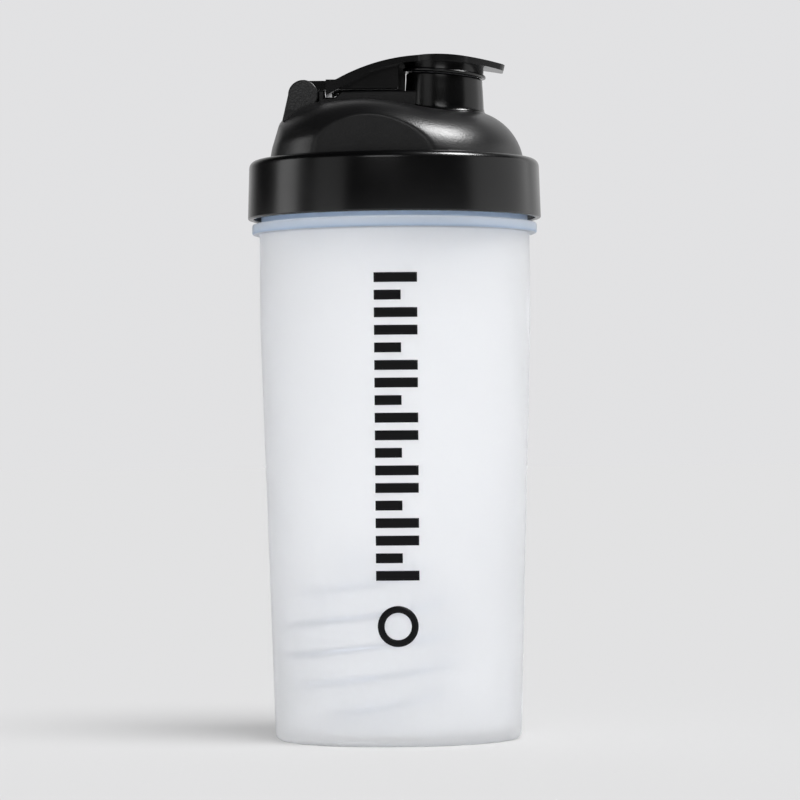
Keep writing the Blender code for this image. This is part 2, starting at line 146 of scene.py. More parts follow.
def slabPiece(name, outline, lowY, highY):
    # outline of (x, z) points, filled and pulled across from one side to the other
    drawOutline(name, outline, lambda p: (p[0], lowY, p[1]))
    bpy.ops.mesh.remove_doubles(threshold=1e-7)
    bpy.ops.mesh.edge_face_add()
    across = {"value": (0, highY - lowY, 0)}
    bpy.ops.mesh.extrude_region_move(TRANSFORM_OT_translate=across)
    return settle(bpy.context.object)


def crossRod(name, radius, halfLength, bevel=0.0, sides=64):
    # a rod along the hinge's axis
    deselectAll()
    turn = (math.pi / 2, 0, 0)
    bpy.ops.mesh.primitive_cylinder_add(
        vertices=sides, radius=radius, depth=2 * halfLength, location=hinge, rotation=turn
    )
    piece = bpy.context.object
    piece.name = name
    if bevel:
        bevelEdges(piece, bevel, 2)
    pick(piece)
    bpy.ops.object.mode_set(mode="EDIT")
    return settle(piece)


def bevelEdges(piece, width, segments=3, angle=40):
    modifier = piece.modifiers.new("bevel", "BEVEL")
    modifier.width = width
    modifier.segments = segments
    modifier.limit_method = "ANGLE"
    modifier.angle_limit = math.radians(angle)
    applyModifiers(piece)
    return piece


def combine(piece, other, operation):
    modifier = piece.modifiers.new("combine", "BOOLEAN")
    modifier.operation = operation
    modifier.solver = "EXACT"
    modifier.object = other
    applyModifiers(piece)
    bpy.data.objects.remove(other)
    return piece


def moveVertices(piece, mover):
    for vertex in piece.data.vertices:
        vertex.co = mover(vertex.co)
    piece.data.update()


def smoothAgain(piece, angle=35):
    pick(piece)
    bpy.ops.object.shade_smooth_by_angle(angle=math.radians(angle))


def signedVolume(piece):
    mesh = piece.data
    mesh.calc_loop_triangles()
    total = 0.0
    for triangle in mesh.loop_triangles:
        a, b, c = (mesh.vertices[i].co for i in triangle.vertices)
        total += a.dot(b.cross(c)) / 6
    return total


def threadPiece(name, rootR, crestR, startZ, pitch=5.0 * mm, turns=1.1, perTurn=96):
    # a tapered section drawn once and carried up the helix by a screw modifier
    bite = math.copysign(0.4 * mm, rootR - crestR)
    section = [
        (rootR + bite, -0.9 * mm, 0),
        (crestR, -0.45 * mm, 0.2 * mm),
        (crestR, 0.45 * mm, 0.2 * mm),
        (rootR + bite, 0.9 * mm, 0),
    ]
    outline = roundedOutline(section, perCorner=3)
    drawOutline(name, [*outline, outline[0]], lambda p: (p[0], 0, p[1]))
    bpy.ops.mesh.remove_doubles(threshold=1e-7)
    bpy.ops.object.mode_set(mode="OBJECT")
    bpy.ops.object.transform_apply(location=True, rotation=True, scale=True)
    piece = bpy.context.object
    screw = piece.modifiers.new("screw", "SCREW")
    screw.angle = math.tau * turns
    screw.screw_offset = pitch * turns
    screw.steps = screw.render_steps = round(perTurn * turns)
    screw.use_normal_calculate = True
    applyModifiers(piece)

    def fadeOut(co):
        share = co.z / (pitch * turns)
        fade = min(1, 0.12 + max(0, min(share, 1 - share)) * 12)
        r = math.hypot(co.x, co.y)
        wanted = rootR + bite + (r - rootR - bite) * fade
        return Vector((co.x * wanted / r, co.y * wanted / r, startZ + co.z))

    moveVertices(piece, fadeOut)
    bpy.ops.object.mode_set(mode="EDIT")
    bpy.ops.mesh.select_all(action="SELECT")
    bpy.ops.mesh.fill_holes(sides=0)
    settle(piece)
    if signedVolume(piece) < 0:
        piece.data.flip_normals()
    return piece


# the cup is a drafted tumbler with a foot ring, a stop collar and a threaded neck
cupLow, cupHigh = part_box("cup")
cup = {
    "footR": 38.6 * mm,
    "footInnerR": 34.0 * mm,
    "footRecess": 0.9 * mm,
    "baseR": 40.1 * mm,
    "draft": 0.0303,
    "shoulderZ": 135.0 * mm,
    "wall": 1.6 * mm,
    "floorZ": 3.0 * mm,
    "mouthR": 42.2 * mm,
    "collarR": cupHigh.x,
    "collarLowZ": 165.0 * mm,
    "collarHighZ": 168.4 * mm,
    "neckR": 43.6 * mm,
    "rimZ": cupHigh.z,
    "threadR": 45.2 * mm,
    "threadZ": 174.0 * mm,
}


def cupRadius(z):
    return cup["baseR"] + cup["draft"] * min(z, cup["shoulderZ"])


def makeCup():
    shoulderR = cupRadius(cup["shoulderZ"])
    mouthZ = (cup["mouthR"] + cup["wall"] - cup["baseR"]) / cup["draft"]
    floorR = cup["baseR"] + cup["draft"] * cup["floorZ"] - cup["wall"]
    lipR = (cup["neckR"] + cup["mouthR"]) / 2
    corners = [
        (0, cup["footRecess"], 0),
        (cup["footInnerR"], cup["footRecess"], 0.4 * mm),
        (cup["footInnerR"] + 0.6 * mm, 0, 0.3 * mm),
        (cup["footR"] + 1.6 * mm, 0, 2.2 * mm),
        (cupRadius(20 * mm), 20 * mm, 0),
        (shoulderR, cup["shoulderZ"], 30 * mm),
        (shoulderR, cup["collarLowZ"], 0.5 * mm),
        (cup["collarR"], cup["collarLowZ"], 0.7 * mm),
        (cup["collarR"], cup["collarHighZ"], 0.7 * mm),
        (cup["neckR"], cup["collarHighZ"], 0.4 * mm),
        (cup["neckR"], cup["rimZ"], 0.65 * mm),
        (lipR, cup["rimZ"], 0),
        (cup["mouthR"], cup["rimZ"], 0.65 * mm),
        (cup["mouthR"], mouthZ, 0),
        (floorR, cup["floorZ"], 3.0 * mm),
        (0, cup["floorZ"], 0),
    ]
    piece = spunPiece("cupShell", roundedOutline(corners, perCorner=6), steps=256)
    thread = threadPiece("cupThread", cup["neckR"], cup["threadR"], cup["threadZ"])
    combine(piece, thread, "UNION")
    smoothAgain(piece, 30)
    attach(piece, "cup")
    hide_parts("cup")
    print("cup made:", len(piece.data.polygons), "faces")
    return piece


# the lid is a skirt, a ledge and a dome with two grip flats and a back panel
lidLow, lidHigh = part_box("lid")
lid = {
    "skirtLowZ": lidLow.z,
    "skirtLowR": lidHigh.x,
    "skirtR": 47.4 * mm,
    "skirtInnerR": 45.9 * mm,
    "shoulder": 4.0 * mm,
    "ledgeZ": 189.2 * mm,
    "ceilingZ": 186.5 * mm,
    "domeR": 42.6 * mm,
    "domeRound": 19.0 * mm,
    "domeFootZ": 186.4 * mm,
    "domeWall": 2.0 * mm,
    "lift": 3.6 * mm,
    "liftX": -13.0 * mm,
    "liftFront": 33.0 * mm,
    "liftBack": 55.0 * mm,
    "liftFull": 0.3,
    "liftFade": 2.0 * mm,
    "sideFall": 1.4 * mm,
    "sideFallY": 20.0 * mm,
    "gripFromAxis": 37.6 * mm,
    "gripTurn": 10,
    "backFromAxis": 40.7 * mm,
    "backCurveR": 72.0 * mm,
    "backLean": 17.7,
    "creaseSoftness": 0.6 * mm,
    "threadR": 44.4 * mm,
    "threadZ": 171.5 * mm,
}
spout = {
    "x": 16.7 * mm,
    "topR": 12.5 * mm,
    "lowR": 13.0 * mm,
    "boreR": 10.8 * mm,
    "rimZ": 216.6 * mm,
    "footZ": 204.0 * mm,
    "tilt": 5.5,
    "boreSlack": 0.6 * mm,
    "cutLowZ": 190.0 * mm,
    "cutHighZ": 220.0 * mm,
    "glossZ": 203.0 * mm,
}
ears = {
    "radius": 4.9 * mm,
    "start": -35,
    "draft": 0.075,
    "edge": 0.45 * mm,
    "innerY": 7.6 * mm,
    "outerY": 10.6 * mm,
    "footX": -36.3 * mm,
    "footZ": 201.5 * mm,
    "barrelR": 4.8 * mm,
    "trunnionR": 2.05 * mm,
    "holeR": 2.35 * mm,
    "bridgeHalfY": 8.7 * mm,
    "bridgeZ": 211.4 * mm,
    "damX": -22.4 * mm,
    "damZ": 211.7 * mm,
    "gap": 0.3 * mm,
    "holeEndY": 9.5 * mm,
}


boss = {"lowZ": 202.0 * mm, "backX": -36.0 * mm, "frontX": -21.2 * mm, "inset": 0.8 * mm}


def softMin(a, b, softness):
    near = max(softness - abs(a - b), 0) / softness
    return min(a, b) - near * near * softness / 4


def crownLift(x, y, share):
    reach = lid["liftFront"] if x > lid["liftX"] else lid["liftBack"]
    along = min(1, abs(x - lid["liftX"]) / reach)
    aside = min(1, abs(y) / lid["sideFallY"])
    lift = lid["lift"] * min(1, share / lid["liftFull"]) * math.cos(math.pi / 2 * along) ** 2
    return lift - lid["sideFall"] * share * math.sin(math.pi / 2 * aside) ** 2


def domeHeight(x, y, inset=0.0):
    middle = lid["domeR"] - lid["domeRound"]
    rounding = lid["domeRound"] - inset
    past = min(max(0, math.hypot(x, y) - middle), rounding)
    up = math.sqrt(rounding**2 - past**2)
    return lid["domeFootZ"] + up + crownLift(x, y, up / rounding)


def domeShare(co, inset):
    # how far towards the axis a point of the dome is drawn by the grip flats and the back panel
    flat = Vector((co.x, co.y))
    out = flat.length
    if out < 10 * mm:
        return 1.0
    softness = lid["creaseSoftness"] / out
    share = 1.0
    for side in (-1, 1):
        turn = math.radians(side * lid["gripTurn"])
        facing = Vector((-math.sin(turn), math.cos(turn))) * side
        if flat.dot(facing) > 10 * mm:
            share = softMin(share, (lid["gripFromAxis"] - inset) / flat.dot(facing), softness)
    if co.x < 0:
        lean = math.tan(math.radians(lid["backLean"]))
        panelR = lid["backCurveR"] - lean * (co.z - lid["ledgeZ"])
        centreX = lid["backCurveR"] - lid["backFromAxis"] + inset
        half = flat.x * centreX
        root = math.sqrt(half**2 - out**2 * (centreX**2 - panelR**2))
        share = softMin(share, (half + root) / out**2, softness)
    return share


def makeLidShell():
    middle = lid["domeR"] - lid["domeRound"]
    footZ, ledgeZ, wall = lid["domeFootZ"], lid["ledgeZ"], lid["domeWall"]
    foot = math.degrees(math.asin((ledgeZ + 0.5 * mm - footZ) / lid["domeRound"]))
    topZ = footZ + lid["domeRound"]
    outline = [Vector((middle * i / 16, topZ)) for i in range(16)]
    outline += arcPoints((middle, footZ), lid["domeRound"], 90, foot, 44)
    footR = outline[-1].x
    skirt = [
        (footR, ledgeZ + 0.45 * mm, 0),
        (footR + 0.15 * mm, ledgeZ, 0.4 * mm),
        (lid["skirtR"], ledgeZ, lid["shoulder"]),
        (lid["skirtLowR"], lid["skirtLowZ"], 0.6 * mm),
        (lid["skirtInnerR"] + 0.2 * mm, lid["skirtLowZ"], 0.4 * mm),
        (lid["skirtInnerR"], lid["ceilingZ"], 0.4 * mm),
        (lid["domeR"] - wall, lid["ceilingZ"], 0),
    ]
    outline += roundedOutline(skirt, perCorner=8)
    outline += arcPoints((middle, footZ), lid["domeRound"] - wall, 2, 90, 18)
    outline += [Vector((middle * (6 - i) / 6, topZ - wall)) for i in range(1, 7)]
    piece = spunPiece("lidShell", outline, steps=320)
    innerEdge = lid["domeR"] - wall + 0.05 * mm
    hair = 0.01 * mm

    def shapeDome(co):
        # the inner shell lies a wall below the outer one
        r = math.hypot(co.x, co.y)
        aboveLedge = co.z > ledgeZ - hair
        if aboveLedge:
            fromFoot = math.hypot(max(0, r - middle), co.z - footZ)
            onInner = fromFoot <= lid["domeRound"] - wall / 2
            onInner = onInner and ledgeZ + 0.6 * mm < co.z < topZ - hair
        else:
            onInner = co.z > lid["ceilingZ"] - hair
        onInner = onInner and r < innerEdge
        if not onInner and not (aboveLedge and r < footR + 0.4 * mm):
            return co
        inset = wall if onInner else 0.0
        share = domeShare(co, inset)
        if not onInner and r >= footR - hair and co.z < ledgeZ + 0.5 * mm:
            return Vector((co.x * share, co.y * share, co.z))
        lift = crownLift(co.x, co.y, max(0, (co.z - footZ) / (lid["domeRound"] - inset)))
        if co.z < ledgeZ + lid["liftFade"] and not onInner:
            lift *= max(0, (co.z - ledgeZ) / lid["liftFade"])
        return Vector((co.x * share, co.y * share, co.z + lift))

    moveVertices(piece, shapeDome)
    return piece


def makeSpout():
    lowR, topR, boreR = spout["lowR"], spout["topR"], spout["boreR"]
    tilt = math.tan(math.radians(spout["tilt"]))
    base = 0.1  # heights below this are measured from the dome's own surface
    corners = [
        (boreR, -lid["domeWall"] - 0.5 * mm, 0),
        (lowR - 0.5 * mm, -lid["domeWall"] - 0.5 * mm, 0),
        (lowR - 0.4 * mm, -0.9 * mm, 0),
        (lowR + 1.1 * mm, -0.45 * mm, 0),
        (lowR + 0.75 * mm, -0.02 * mm, 0),
        (lowR + 0.35 * mm, 0.22 * mm, 0),
        (lowR + 0.1 * mm, 0.6 * mm, 0),
        (lowR, 1.2 * mm, 0),
    ]
    footZ, height = spout["footZ"], spout["rimZ"] - spout["footZ"]
    corners += [(lowR + (topR - lowR) * i / 6, footZ + height * i / 6, 0) for i in range(1, 6)]
    rim = roundedOutline(
        [
            (topR, spout["rimZ"] - 2 * mm, 0),
            (topR, spout["rimZ"], 0.7 * mm),
            (boreR, spout["rimZ"], 0.7 * mm),
            (boreR, spout["rimZ"] - 2 * mm, 0),
        ],
        perCorner=5,
    )
    outline = [Vector(c[:2]) for c in corners[:-1]] + rim
    outline.append(outline[0].copy())
    piece = spunPiece("spoutTube", outline, steps=128, centreX=spout["x"])

    def place(co):
        if co.z < base:
            inset = lid["domeWall"] if co.z < -lid["domeWall"] else 0.0
            return Vector((co.x, co.y, domeHeight(co.x, co.y, inset) + co.z + inset))
        share = (co.z - footZ) / height
        return Vector((co.x, co.y, co.z - share * tilt * (co.x - spout["x"])))

    moveVertices(piece, place)
    return piece


def makeEar(side):
    around = arcPoints((hinge.x, hinge.z), ears["radius"], ears["start"], 180, 48)
    foot = Vector((ears["footX"], ears["footZ"]))
    outline = [foot, Vector((around[0].x, ears["footZ"])), *around, foot]
    low, high = sorted((side * ears["innerY"], side * ears["outerY"]))
    name = "earNear" if side < 0 else "earFar"
    piece = bevelEdges(slabPiece(name, outline, low, high), ears["edge"])

    def draw(co):
        # the outer face leans in towards its top
        if abs(co.y) < ears["innerY"] + 1.5 * mm:
            return co
        return Vector((co.x, co.y - side * ears["draft"] * (co.z - ears["footZ"]), co.z))

    moveVertices(piece, draw)
    return piece


def makeBridge():
    back = hinge.x + ears["barrelR"]
    front = spout["x"] - 4 * mm
    places = [back + (front - back) * i / 12 for i in range(13)]
    corners = [
        *[(x, domeHeight(x, 0) - 1.2 * mm, 0) for x in places],
        (front, ears["bridgeZ"], 0),
        (-17.0 * mm, ears["bridgeZ"], 0.8 * mm),
        (-19.0 * mm, ears["bridgeZ"] - 2 * mm, 0.8 * mm),
        (ears["damX"], ears["bridgeZ"] - 2 * mm, 0),
        (ears["damX"], ears["damZ"], 0),
        (back, ears["damZ"], 0),
    ]
    half = ears["bridgeHalfY"]
    bridge = slabPiece("bridge", roundedOutline(corners, closed=True), -half, half)
    return bevelEdges(bridge, 0.5 * mm, 2)


def makeBoss():
    # the thick stretch of wall under the hinge's pocket
    lowZ, frontX = boss["lowZ"], boss["frontX"]
    corners = [(boss["backX"], lowZ, 0), (frontX, lowZ, 0)]
    for x in (frontX, -24 * mm, -27 * mm, -30 * mm, -32.5 * mm):
        corners.append((x, domeHeight(x, 0) - boss["inset"], 0))
    corners.append((-34.6 * mm, 205.6 * mm, 0))
    half = ears["outerY"] - 0.1 * mm
    return slabPiece("boss", roundedOutline(corners, closed=True), -half, half)


def makeBoreCutter(name):
    wide = spout["boreR"] + spout["boreSlack"]
    low, high = spout["cutLowZ"], spout["cutHighZ"]
    outline = [Vector(point) for point in ((0, low), (wide, low), (wide, high), (0, high))]
    return spunPiece(name, outline, 96, spout["x"])


def makeLid():
    piece = makeLidShell()
    combine(piece, makeBoreCutter("boreCutter"), "DIFFERENCE")
    fittings = makeBridge()
    combine(fittings, makeBoreCutter("bridgeCutter"), "DIFFERENCE")
    for part in (makeEar(-1), makeEar(1), makeBoss(), makeSpout()):
        combine(fittings, part, "UNION")
    combine(piece, fittings, "UNION")
    gap = ears["gap"]
    cutter = crossRod("pocketCutter", ears["barrelR"] + 2 * gap, ears["innerY"] + gap / 2)
    combine(cutter, crossRod("holeCutter", ears["holeR"], ears["holeEndY"]), "UNION")
    combine(piece, cutter, "DIFFERENCE")
    thread = threadPiece("lidThread", lid["skirtInnerR"], lid["threadR"], lid["threadZ"])
    combine(piece, thread, "UNION")
    piece.name = "lidBody"
    smoothAgain(piece, 32)
    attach(piece, "lid")
    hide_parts("lid")
    print("lid made:", len(piece.data.polygons), "faces")
    return piece


# the flip cap is an arched plate with side walls, ribs, a skirt over the spout and a barrel
cap = {
    "crestX": 11.5 * mm,
    "crestZ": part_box("flip_cap")[1].z,
    "backR": 62.0 * mm,
    "frontR": 105.0 * mm,
    "plate": 2.0 * mm,
    "backX": -22.0 * mm,
    "riseX": -19.7 * mm,
    "flatZ": 215.0 * mm,
    "armHalfY": 11.0 * mm,
    "armLowZ": 209.8 * mm,
    "stepX": -7.0 * mm,
    "stepZ": 218.0 * mm,
    "armEndX": -1.5 * mm,
    "backWall": 1.8 * mm,
    "wallFrom": 0.84,
    "spineGap": 0.6 * mm,
    "discR": 14.0 * mm,
    "tabStart": 57,
    "tabEndX": 36.5 * mm,
    "tabHalfY": 6.5 * mm,
    "tabRound": 2.5 * mm,
    "ribInnerY": 6.4 * mm,
    "ribOuterY": 8.0 * mm,
    "ribFrontX": 1.8 * mm,
    "ribLowZ": 212.0 * mm,
    "spineHalfY": 0.8 * mm,
    "spineBackX": -17.0 * mm,
    "skirtR": 12.9 * mm,
    "skirtWall": 1.3 * mm,
    "lipR": 13.6 * mm,
    "lip": 1.0 * mm,
}


def capTop(x, depth=0.0):
    radius = cap["backR"] if x < cap["crestX"] else cap["frontR"]
    along = x - cap["crestX"]
    arch = cap["crestZ"] - radius + math.sqrt((radius - depth) ** 2 - along**2)
    flat = cap["flatZ"] - depth
    return max(arch, flat) if x < cap["riseX"] + 3 * mm else arch


def capHalfWidth(x):
    disc = cap["discR"]
    out = x - spout["x"]
    join = -math.sqrt(disc**2 - cap["armHalfY"] ** 2)
    tabX = disc * math.cos(math.radians(cap["tabStart"]))
    tabY = disc * math.sin(math.radians(cap["tabStart"]))
    cornerX = cap["tabEndX"] - cap["tabRound"] - spout["x"]
    cornerY = cap["tabHalfY"] - cap["tabRound"]
    if out < join:
        return cap["armHalfY"]
    if out < tabX:
        return math.sqrt(disc**2 - out**2)
    startX = cornerX + cap["tabRound"] * math.cos(math.radians(70))
    startY = cornerY + cap["tabRound"] * math.sin(math.radians(70))
    if out < startX:
        share = (out - tabX) / (startX - tabX)
        return tabY + (startY - tabY) * share
    return cornerY + math.sqrt(max(0, cap["tabRound"] ** 2 - (out - cornerX) ** 2))


def armLow(x):
    # height of the arm's lower edge
    if x < cap["stepX"]:
        share = (x - cap["backX"]) / (cap["stepX"] - cap["backX"])
        return cap["armLowZ"] + (cap["stepZ"] - cap["armLowZ"]) * share
    share = (x - cap["stepX"]) / (cap["armEndX"] - cap["stepX"])
    return cap["stepZ"] + (capTop(cap["armEndX"], cap["plate"]) - cap["stepZ"]) * share


def makeCapPlate():
    # a grid pulled to the cap's outline and arch; the arm's outer rows are then drawn down
    deselectAll()
    columns, rows = 96, 12
    length = cap["tabEndX"] - cap["backX"]
    bpy.ops.mesh.primitive_grid_add(x_subdivisions=columns, y_subdivisions=rows, size=2)
    piece = bpy.context.object
    piece.name = "capPlate"

    def pull(co):
        share = (co.x + 1) / 2
        # columns close up towards the tab's round end
        share = share + 0.06 * math.sin(math.pi * share) * share
        x = cap["backX"] + length * min(1, share)
        return Vector((x, co.y * capHalfWidth(x), capTop(x)))

    moveVertices(piece, pull)
    thick = piece.modifiers.new("thickness", "SOLIDIFY")
    thick.thickness = cap["plate"]
    thick.offset = -1
    applyModifiers(piece)
    bpy.ops.object.mode_set(mode="EDIT")
    bpy.ops.mesh.select_all(action="DESELECT")
    bpy.ops.object.mode_set(mode="OBJECT")
    for face in piece.data.polygons:
        centre = face.center
        wallRow = abs(centre.y) > cap["wallFrom"] * capHalfWidth(centre.x)
        face.select = (
            face.normal.z < -0.5
            and centre.x < cap["armEndX"]
            and (wallRow or centre.x < cap["backX"] + cap["backWall"])
        )
    bpy.ops.object.mode_set(mode="EDIT")
    down = {"value": (0, 0, -0.05 * mm)}
    bpy.ops.mesh.extrude_region_move(TRANSFORM_OT_translate=down)
    bpy.ops.object.mode_set(mode="OBJECT")
    for vertex in piece.data.vertices:
        if vertex.select:
            vertex.co.z = min(vertex.co.z, armLow(vertex.co.x))
    bpy.ops.object.mode_set(mode="EDIT")
    settle(piece)
    return bevelEdges(piece, 0.65 * mm, 4, 50)


def makeRib(side):
    low, high = sorted((side * cap["ribInnerY"], side * cap["ribOuterY"]))
    top = [(x * mm, capTop(x * mm, 1 * mm), 0) for x in (1.8, -1, -4, -7, -10, -13, -16, -18)]
    corners = [
        (-21.5 * mm, cap["flatZ"] - 1 * mm, 0),
        (-21.5 * mm, cap["ribLowZ"], 0.4 * mm),
        (cap["ribFrontX"], cap["ribLowZ"], 1.0 * mm),
        *top,
    ]
    name = "ribNear" if side < 0 else "ribFar"
    rib = slabPiece(name, roundedOutline(corners, closed=True), low, high)
    return bevelEdges(rib, 0.3 * mm, 2, 50)


def makeSpine():
    # the middle rib passes behind the spout's back edge and joins the skirt above it
    front = spout["x"] - cap["skirtR"] + cap["skirtWall"] / 2
    lowFront = spout["x"] - spout["lowR"] + 0.18 * mm
    tilt = math.tan(math.radians(spout["tilt"]))
    stepZ = spout["rimZ"] + tilt * cap["skirtR"] + cap["spineGap"]
    back = cap["spineBackX"]
    corners = [
        (back, cap["ribLowZ"], 0.4 * mm),
        (lowFront, cap["ribLowZ"], 0.4 * mm),
        (lowFront + 0.2 * mm, stepZ, 0),
        (front, stepZ, 0),
    ]
    for i in range(10):
        x = front + (back - front) * i / 9
        corners.append((x, capTop(x, 1 * mm), 0))
    half = cap["spineHalfY"]
    spine = slabPiece("spine", roundedOutline(corners, closed=True), -half, half)
    return bevelEdges(spine, 0.2 * mm, 2, 50)


def makeCapSkirt():
    low = spout["rimZ"] + ears["gap"]
    high = cap["crestZ"] - 1.0 * mm
    innerR = cap["skirtR"] - cap["skirtWall"]
    corners = [
        (innerR, low, 0.3 * mm),
        (cap["lipR"], low, 0.35 * mm),
        (cap["lipR"], low + cap["lip"], 0.3 * mm),
        (cap["skirtR"], low + cap["lip"] + 0.1 * mm, 0.2 * mm),
        (cap["skirtR"], high, 0),
        (innerR, high, 0),
    ]
    outline = roundedOutline(corners, closed=True, perCorner=3)
    piece = spunPiece("capSkirt", outline, 128, spout["x"])
    tilt = math.tan(math.radians(spout["tilt"]))

    def place(co):
        if co.z > high - 1 * mm:
            return Vector((co.x, co.y, capTop(co.x, 1.0 * mm)))
        return Vector((co.x, co.y, co.z - tilt * (co.x - spout["x"])))

    moveVertices(piece, place)
    return piece


def makeFlipCap():
    piece = makeCapPlate()
    barrelY = ears["innerY"] - ears["gap"]
    webLow = cap["flatZ"] - 3 * mm
    corners = [
        (hinge.x, webLow, 0),
        (cap["riseX"], webLow, 0),
        (cap["riseX"], cap["flatZ"] - 0.05 * mm, 0),
        (hinge.x, cap["flatZ"] - 0.05 * mm, 0),
    ]
    web = slabPiece("web", roundedOutline(corners, closed=True), -barrelY, barrelY)
    parts = [
        makeRib(-1),
        makeRib(1),
        makeSpine(),
        makeCapSkirt(),
        web,
        crossRod("barrel", ears["barrelR"], barrelY, 0.35 * mm),
        crossRod("trunnions", ears["trunnionR"], 9.2 * mm),
    ]
    for part in parts:
        combine(piece, part, "UNION")
    piece.name = "flipCap"
    smoothAgain(piece, 32)
    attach(piece, "cap")
    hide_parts("flip_cap")
    print("flip cap made:", len(piece.data.polygons), "faces")
    return piece


# what is inside: the soft plug, the seal ring and the whisk ball
plug = {
    "topR": 10.45 * mm,
    "lowR": 9.4 * mm,
    "depth": 5.0 * mm,
    "flangeR": 11.1 * mm,
    "topZ": 219.3 * mm,
}
sealLow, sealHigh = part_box("lid_seal")
seal = {"outerR": sealHigh.x, "innerR": 41.2 * mm}
ball = {
    "radius": 28.0 * mm,
    "wire": 1.0 * mm,
    "turns": 5.6,
    "lean": 3.5,
    "cut": 0.93,
    "perTurn": 64,
    "x": -7.4 * mm,
    "y": -6.0 * mm,
}


def makePlug():
    rim = spout["rimZ"] + ears["gap"]
    low = rim - plug["depth"]
    corners = [
        (0, low + 0.4 * mm, 0),
        (4 * mm, low + 0.4 * mm, 0.4 * mm),
        (5 * mm, low, 0.4 * mm),
        (plug["lowR"], low, 1.0 * mm),
        (plug["topR"], rim, 0.2 * mm),
        (plug["flangeR"], rim + 0.5 * mm, 0.2 * mm),
        (plug["flangeR"], plug["topZ"], 0.2 * mm),
        (0, plug["topZ"], 0),
    ]
    piece = spunPiece("spoutPlug", roundedOutline(corners), 96, spout["x"])
    tilt = math.tan(math.radians(spout["tilt"]))
    moveVertices(piece, lambda co: Vector((co.x, co.y, co.z - tilt * (co.x - spout["x"]))))
    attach(piece, "cap")
    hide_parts("spout_plug")
    return piece


def makeSeal():
    low, high = sealLow.z, sealHigh.z
    groove = 0.25 * mm
    middle = (seal["innerR"] + seal["outerR"]) / 2
    corners = [
        (seal["outerR"], low, 0.5 * mm),
        (seal["outerR"], high, 0.5 * mm),
        (middle + 0.8 * mm, high, 0.2 * mm),
        (middle, high - groove, 0.3 * mm),
        (middle - 0.8 * mm, high, 0.2 * mm),
        (seal["innerR"], high, 0.5 * mm),
        (seal["innerR"], low, 0.5 * mm),
    ]
    piece = spunPiece("sealRing", roundedOutline(corners, closed=True, perCorner=3), 192)
    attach(piece, "seal")
    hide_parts("lid_seal")
    return piece


def makeBall():
    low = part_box("whisk_ball")[0]
    top = math.sin(math.pi / 2 * ball["cut"])
    steps = round(ball["turns"] * ball["perTurn"])
    lean = Matrix.Rotation(math.radians(-ball["lean"]), 3, "Y")
    points = []
    for i in range(steps + 1):
        height = ball["radius"] * top * (2 * i / steps - 1)
        across = math.sqrt(ball["radius"] ** 2 - height**2)
        angle = math.tau * ball["turns"] * i / steps
        points.append(lean @ Vector((across * math.cos(angle), across * math.sin(angle), height)))
    lowest = min(point.z for point in points) - ball["wire"]
    centre = Vector((ball["x"], ball["y"], low.z - lowest))
    deselectAll()
    bpy.ops.curve.primitive_bezier_curve_add()
    wire = bpy.context.object
    wire.name = "whiskBall"
    wire.data.splines.clear()
    spline = wire.data.splines.new("POLY")
    spline.points.add(len(points) - 1)
    for slot, point in zip(spline.points, points):
        slot.co = (*(point + centre), 1)
    wire.location = (0, 0, 0)
    wire.data.bevel_depth = ball["wire"]
    wire.data.bevel_resolution = 4
    wire.data.use_fill_caps = True
    bpy.ops.object.convert(target="MESH")
    piece = bpy.context.object
    bpy.ops.object.mode_set(mode="EDIT")
    settle(piece)
    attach(piece, "whisk_ball")
    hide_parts("whisk_ball")
    print("whisk ball made:", len(piece.data.polygons), "faces")
    return piece


# a column of plain bars with a plain ring below it, lying on the cup's wall
marks = {
    "x": 0.1 * mm,
    "width": 13.8 * mm,
    "lowZ": 51.7 * mm,
    "highZ": 151.8 * mm,
    "count": 18,
    "share": 0.56,
    "short": 0.62,
    "ink": 0.06 * mm,
    "ringZ": 38.4 * mm,
    "ringR": 6.5 * mm,
    "ringBand": 2.2 * mm,
}


def ontoWall(piece):
    # wraps a flat shape, drawn in front of the cup, round its wall
    def wrap(co):
        around = co.x / cupRadius(co.z)
        out = cupRadius(co.z) + 0.03 * mm
        return Vector((out * math.sin(around), -out * math.cos(around), co.z))

    moveVertices(piece, wrap)


